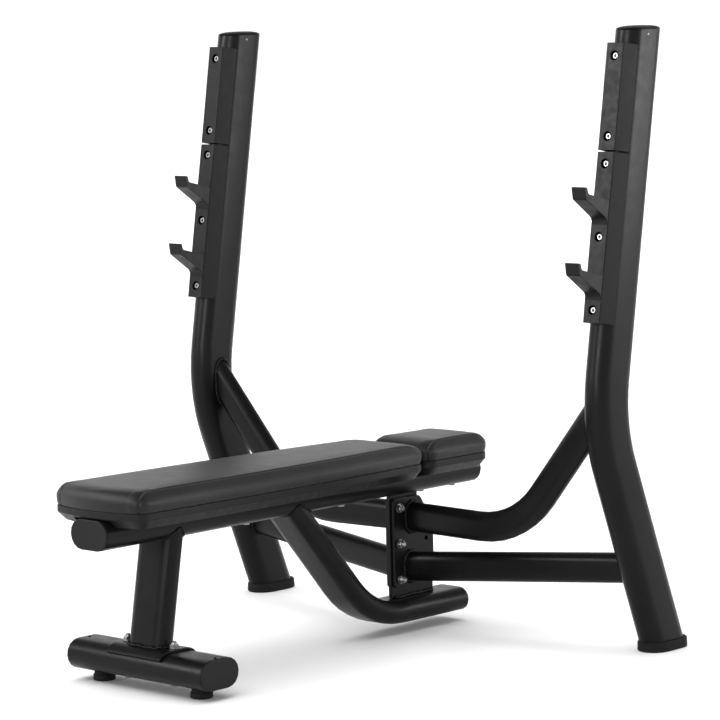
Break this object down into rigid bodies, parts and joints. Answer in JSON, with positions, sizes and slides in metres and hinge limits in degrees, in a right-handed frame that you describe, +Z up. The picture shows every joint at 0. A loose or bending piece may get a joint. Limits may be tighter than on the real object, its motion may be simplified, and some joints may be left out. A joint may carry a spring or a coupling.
{
  "type": "olympic bench press",
  "caption": "Flat weight bench between leaning uprights with stepped barbell hooks; bent cross beams, a low rear tube and a front foot carry the padded rail.",
  "frame": {"origin": "on the floor, under the centre of the bounding box: midway between the uprights and midway along the bench", "axes": "+X towards the right-hand upright, +Y from the foot end of the bench to the uprights at its head end, +Z up"},
  "size_m": [1.2126, 1.1248, 1.28],
  "materials": {
    "black_powder_coat": "satin powder coat",
    "black_moulded_plastic": "fine matt grain",
    "black_rubber": "matt",
    "black_vinyl": "grained upholstery vinyl",
    "plywood": "unfinished",
    "zinc_plated_steel": "bright zinc plate"
  },
  "bodies": {
    "frame": {"upright_left": "black_powder_coat", "upright_cap_left": "black_moulded_plastic", "upright_boot_left": "black_rubber", "bar_guard_left": "black_moulded_plastic", "bar_catch_left": "black_moulded_plastic", "guard_screw_left_1": "zinc_plated_steel", "guard_screw_left_2": "zinc_plated_steel", "catch_screw_left_1": "zinc_plated_steel", "catch_screw_left_2": "zinc_plated_steel", "catch_screw_left_3": "zinc_plated_steel", "upper_beam_left": "black_powder_coat", "lower_beam_left": "black_powder_coat", "side_plate_left": "black_powder_coat", "foot_cap_left": "black_moulded_plastic", "saddle_bolt_left": "zinc_plated_steel", "saddle_nut_left": "zinc_plated_steel", "upright_right": "black_powder_coat", "upright_cap_right": "black_moulded_plastic", "upright_boot_right": "black_rubber", "bar_guard_right": "black_moulded_plastic", "bar_catch_right": "black_moulded_plastic", "guard_screw_right_1": "zinc_plated_steel", "guard_screw_right_2": "zinc_plated_steel", "catch_screw_right_1": "zinc_plated_steel", "catch_screw_right_2": "zinc_plated_steel", "catch_screw_right_3": "zinc_plated_steel", "upper_beam_right": "black_powder_coat", "lower_beam_right": "black_powder_coat", "side_plate_right": "black_powder_coat", "foot_cap_right": "black_moulded_plastic", "saddle_bolt_right": "zinc_plated_steel", "saddle_nut_right": "zinc_plated_steel", "centre_plate": "black_powder_coat", "top_rail": "black_powder_coat", "lower_tube": "black_powder_coat", "front_leg": "black_powder_coat", "saddle_plate": "black_powder_coat", "foot_tube": "black_powder_coat", "rail_cap_front": "black_moulded_plastic", "rail_cap_rear": "black_moulded_plastic", "lower_tube_cap": "black_moulded_plastic", "main_pad_shell": "black_moulded_plastic", "head_pad_shell": "black_moulded_plastic", "frame_bolt_1": "zinc_plated_steel", "frame_bolt_2": "zinc_plated_steel", "frame_bolt_3": "zinc_plated_steel", "frame_nut_1": "zinc_plated_steel", "frame_nut_2": "zinc_plated_steel", "frame_nut_3": "zinc_plated_steel", "main_pad_bolt_1": "zinc_plated_steel", "main_pad_bolt_2": "zinc_plated_steel", "head_pad_bolt_1": "zinc_plated_steel", "head_pad_bolt_2": "zinc_plated_steel", "main_pad": "black_vinyl", "head_pad": "black_vinyl", "main_pad_board": "plywood", "head_pad_board": "plywood"},
    "left_foot": {"levelling_foot_left": "black_rubber"},
    "right_foot": {"levelling_foot_right": "black_rubber"}
  },
  "joints": [
    {"name": "left_foot_height", "type": "slide", "parent": "frame", "child": "left_foot", "axis": [0, 0, -1], "range_m": [0, 0.01]},
    {"name": "right_foot_height", "type": "slide", "parent": "frame", "child": "right_foot", "axis": [0, 0, -1], "range_m": [0, 0.01]}
  ]
}
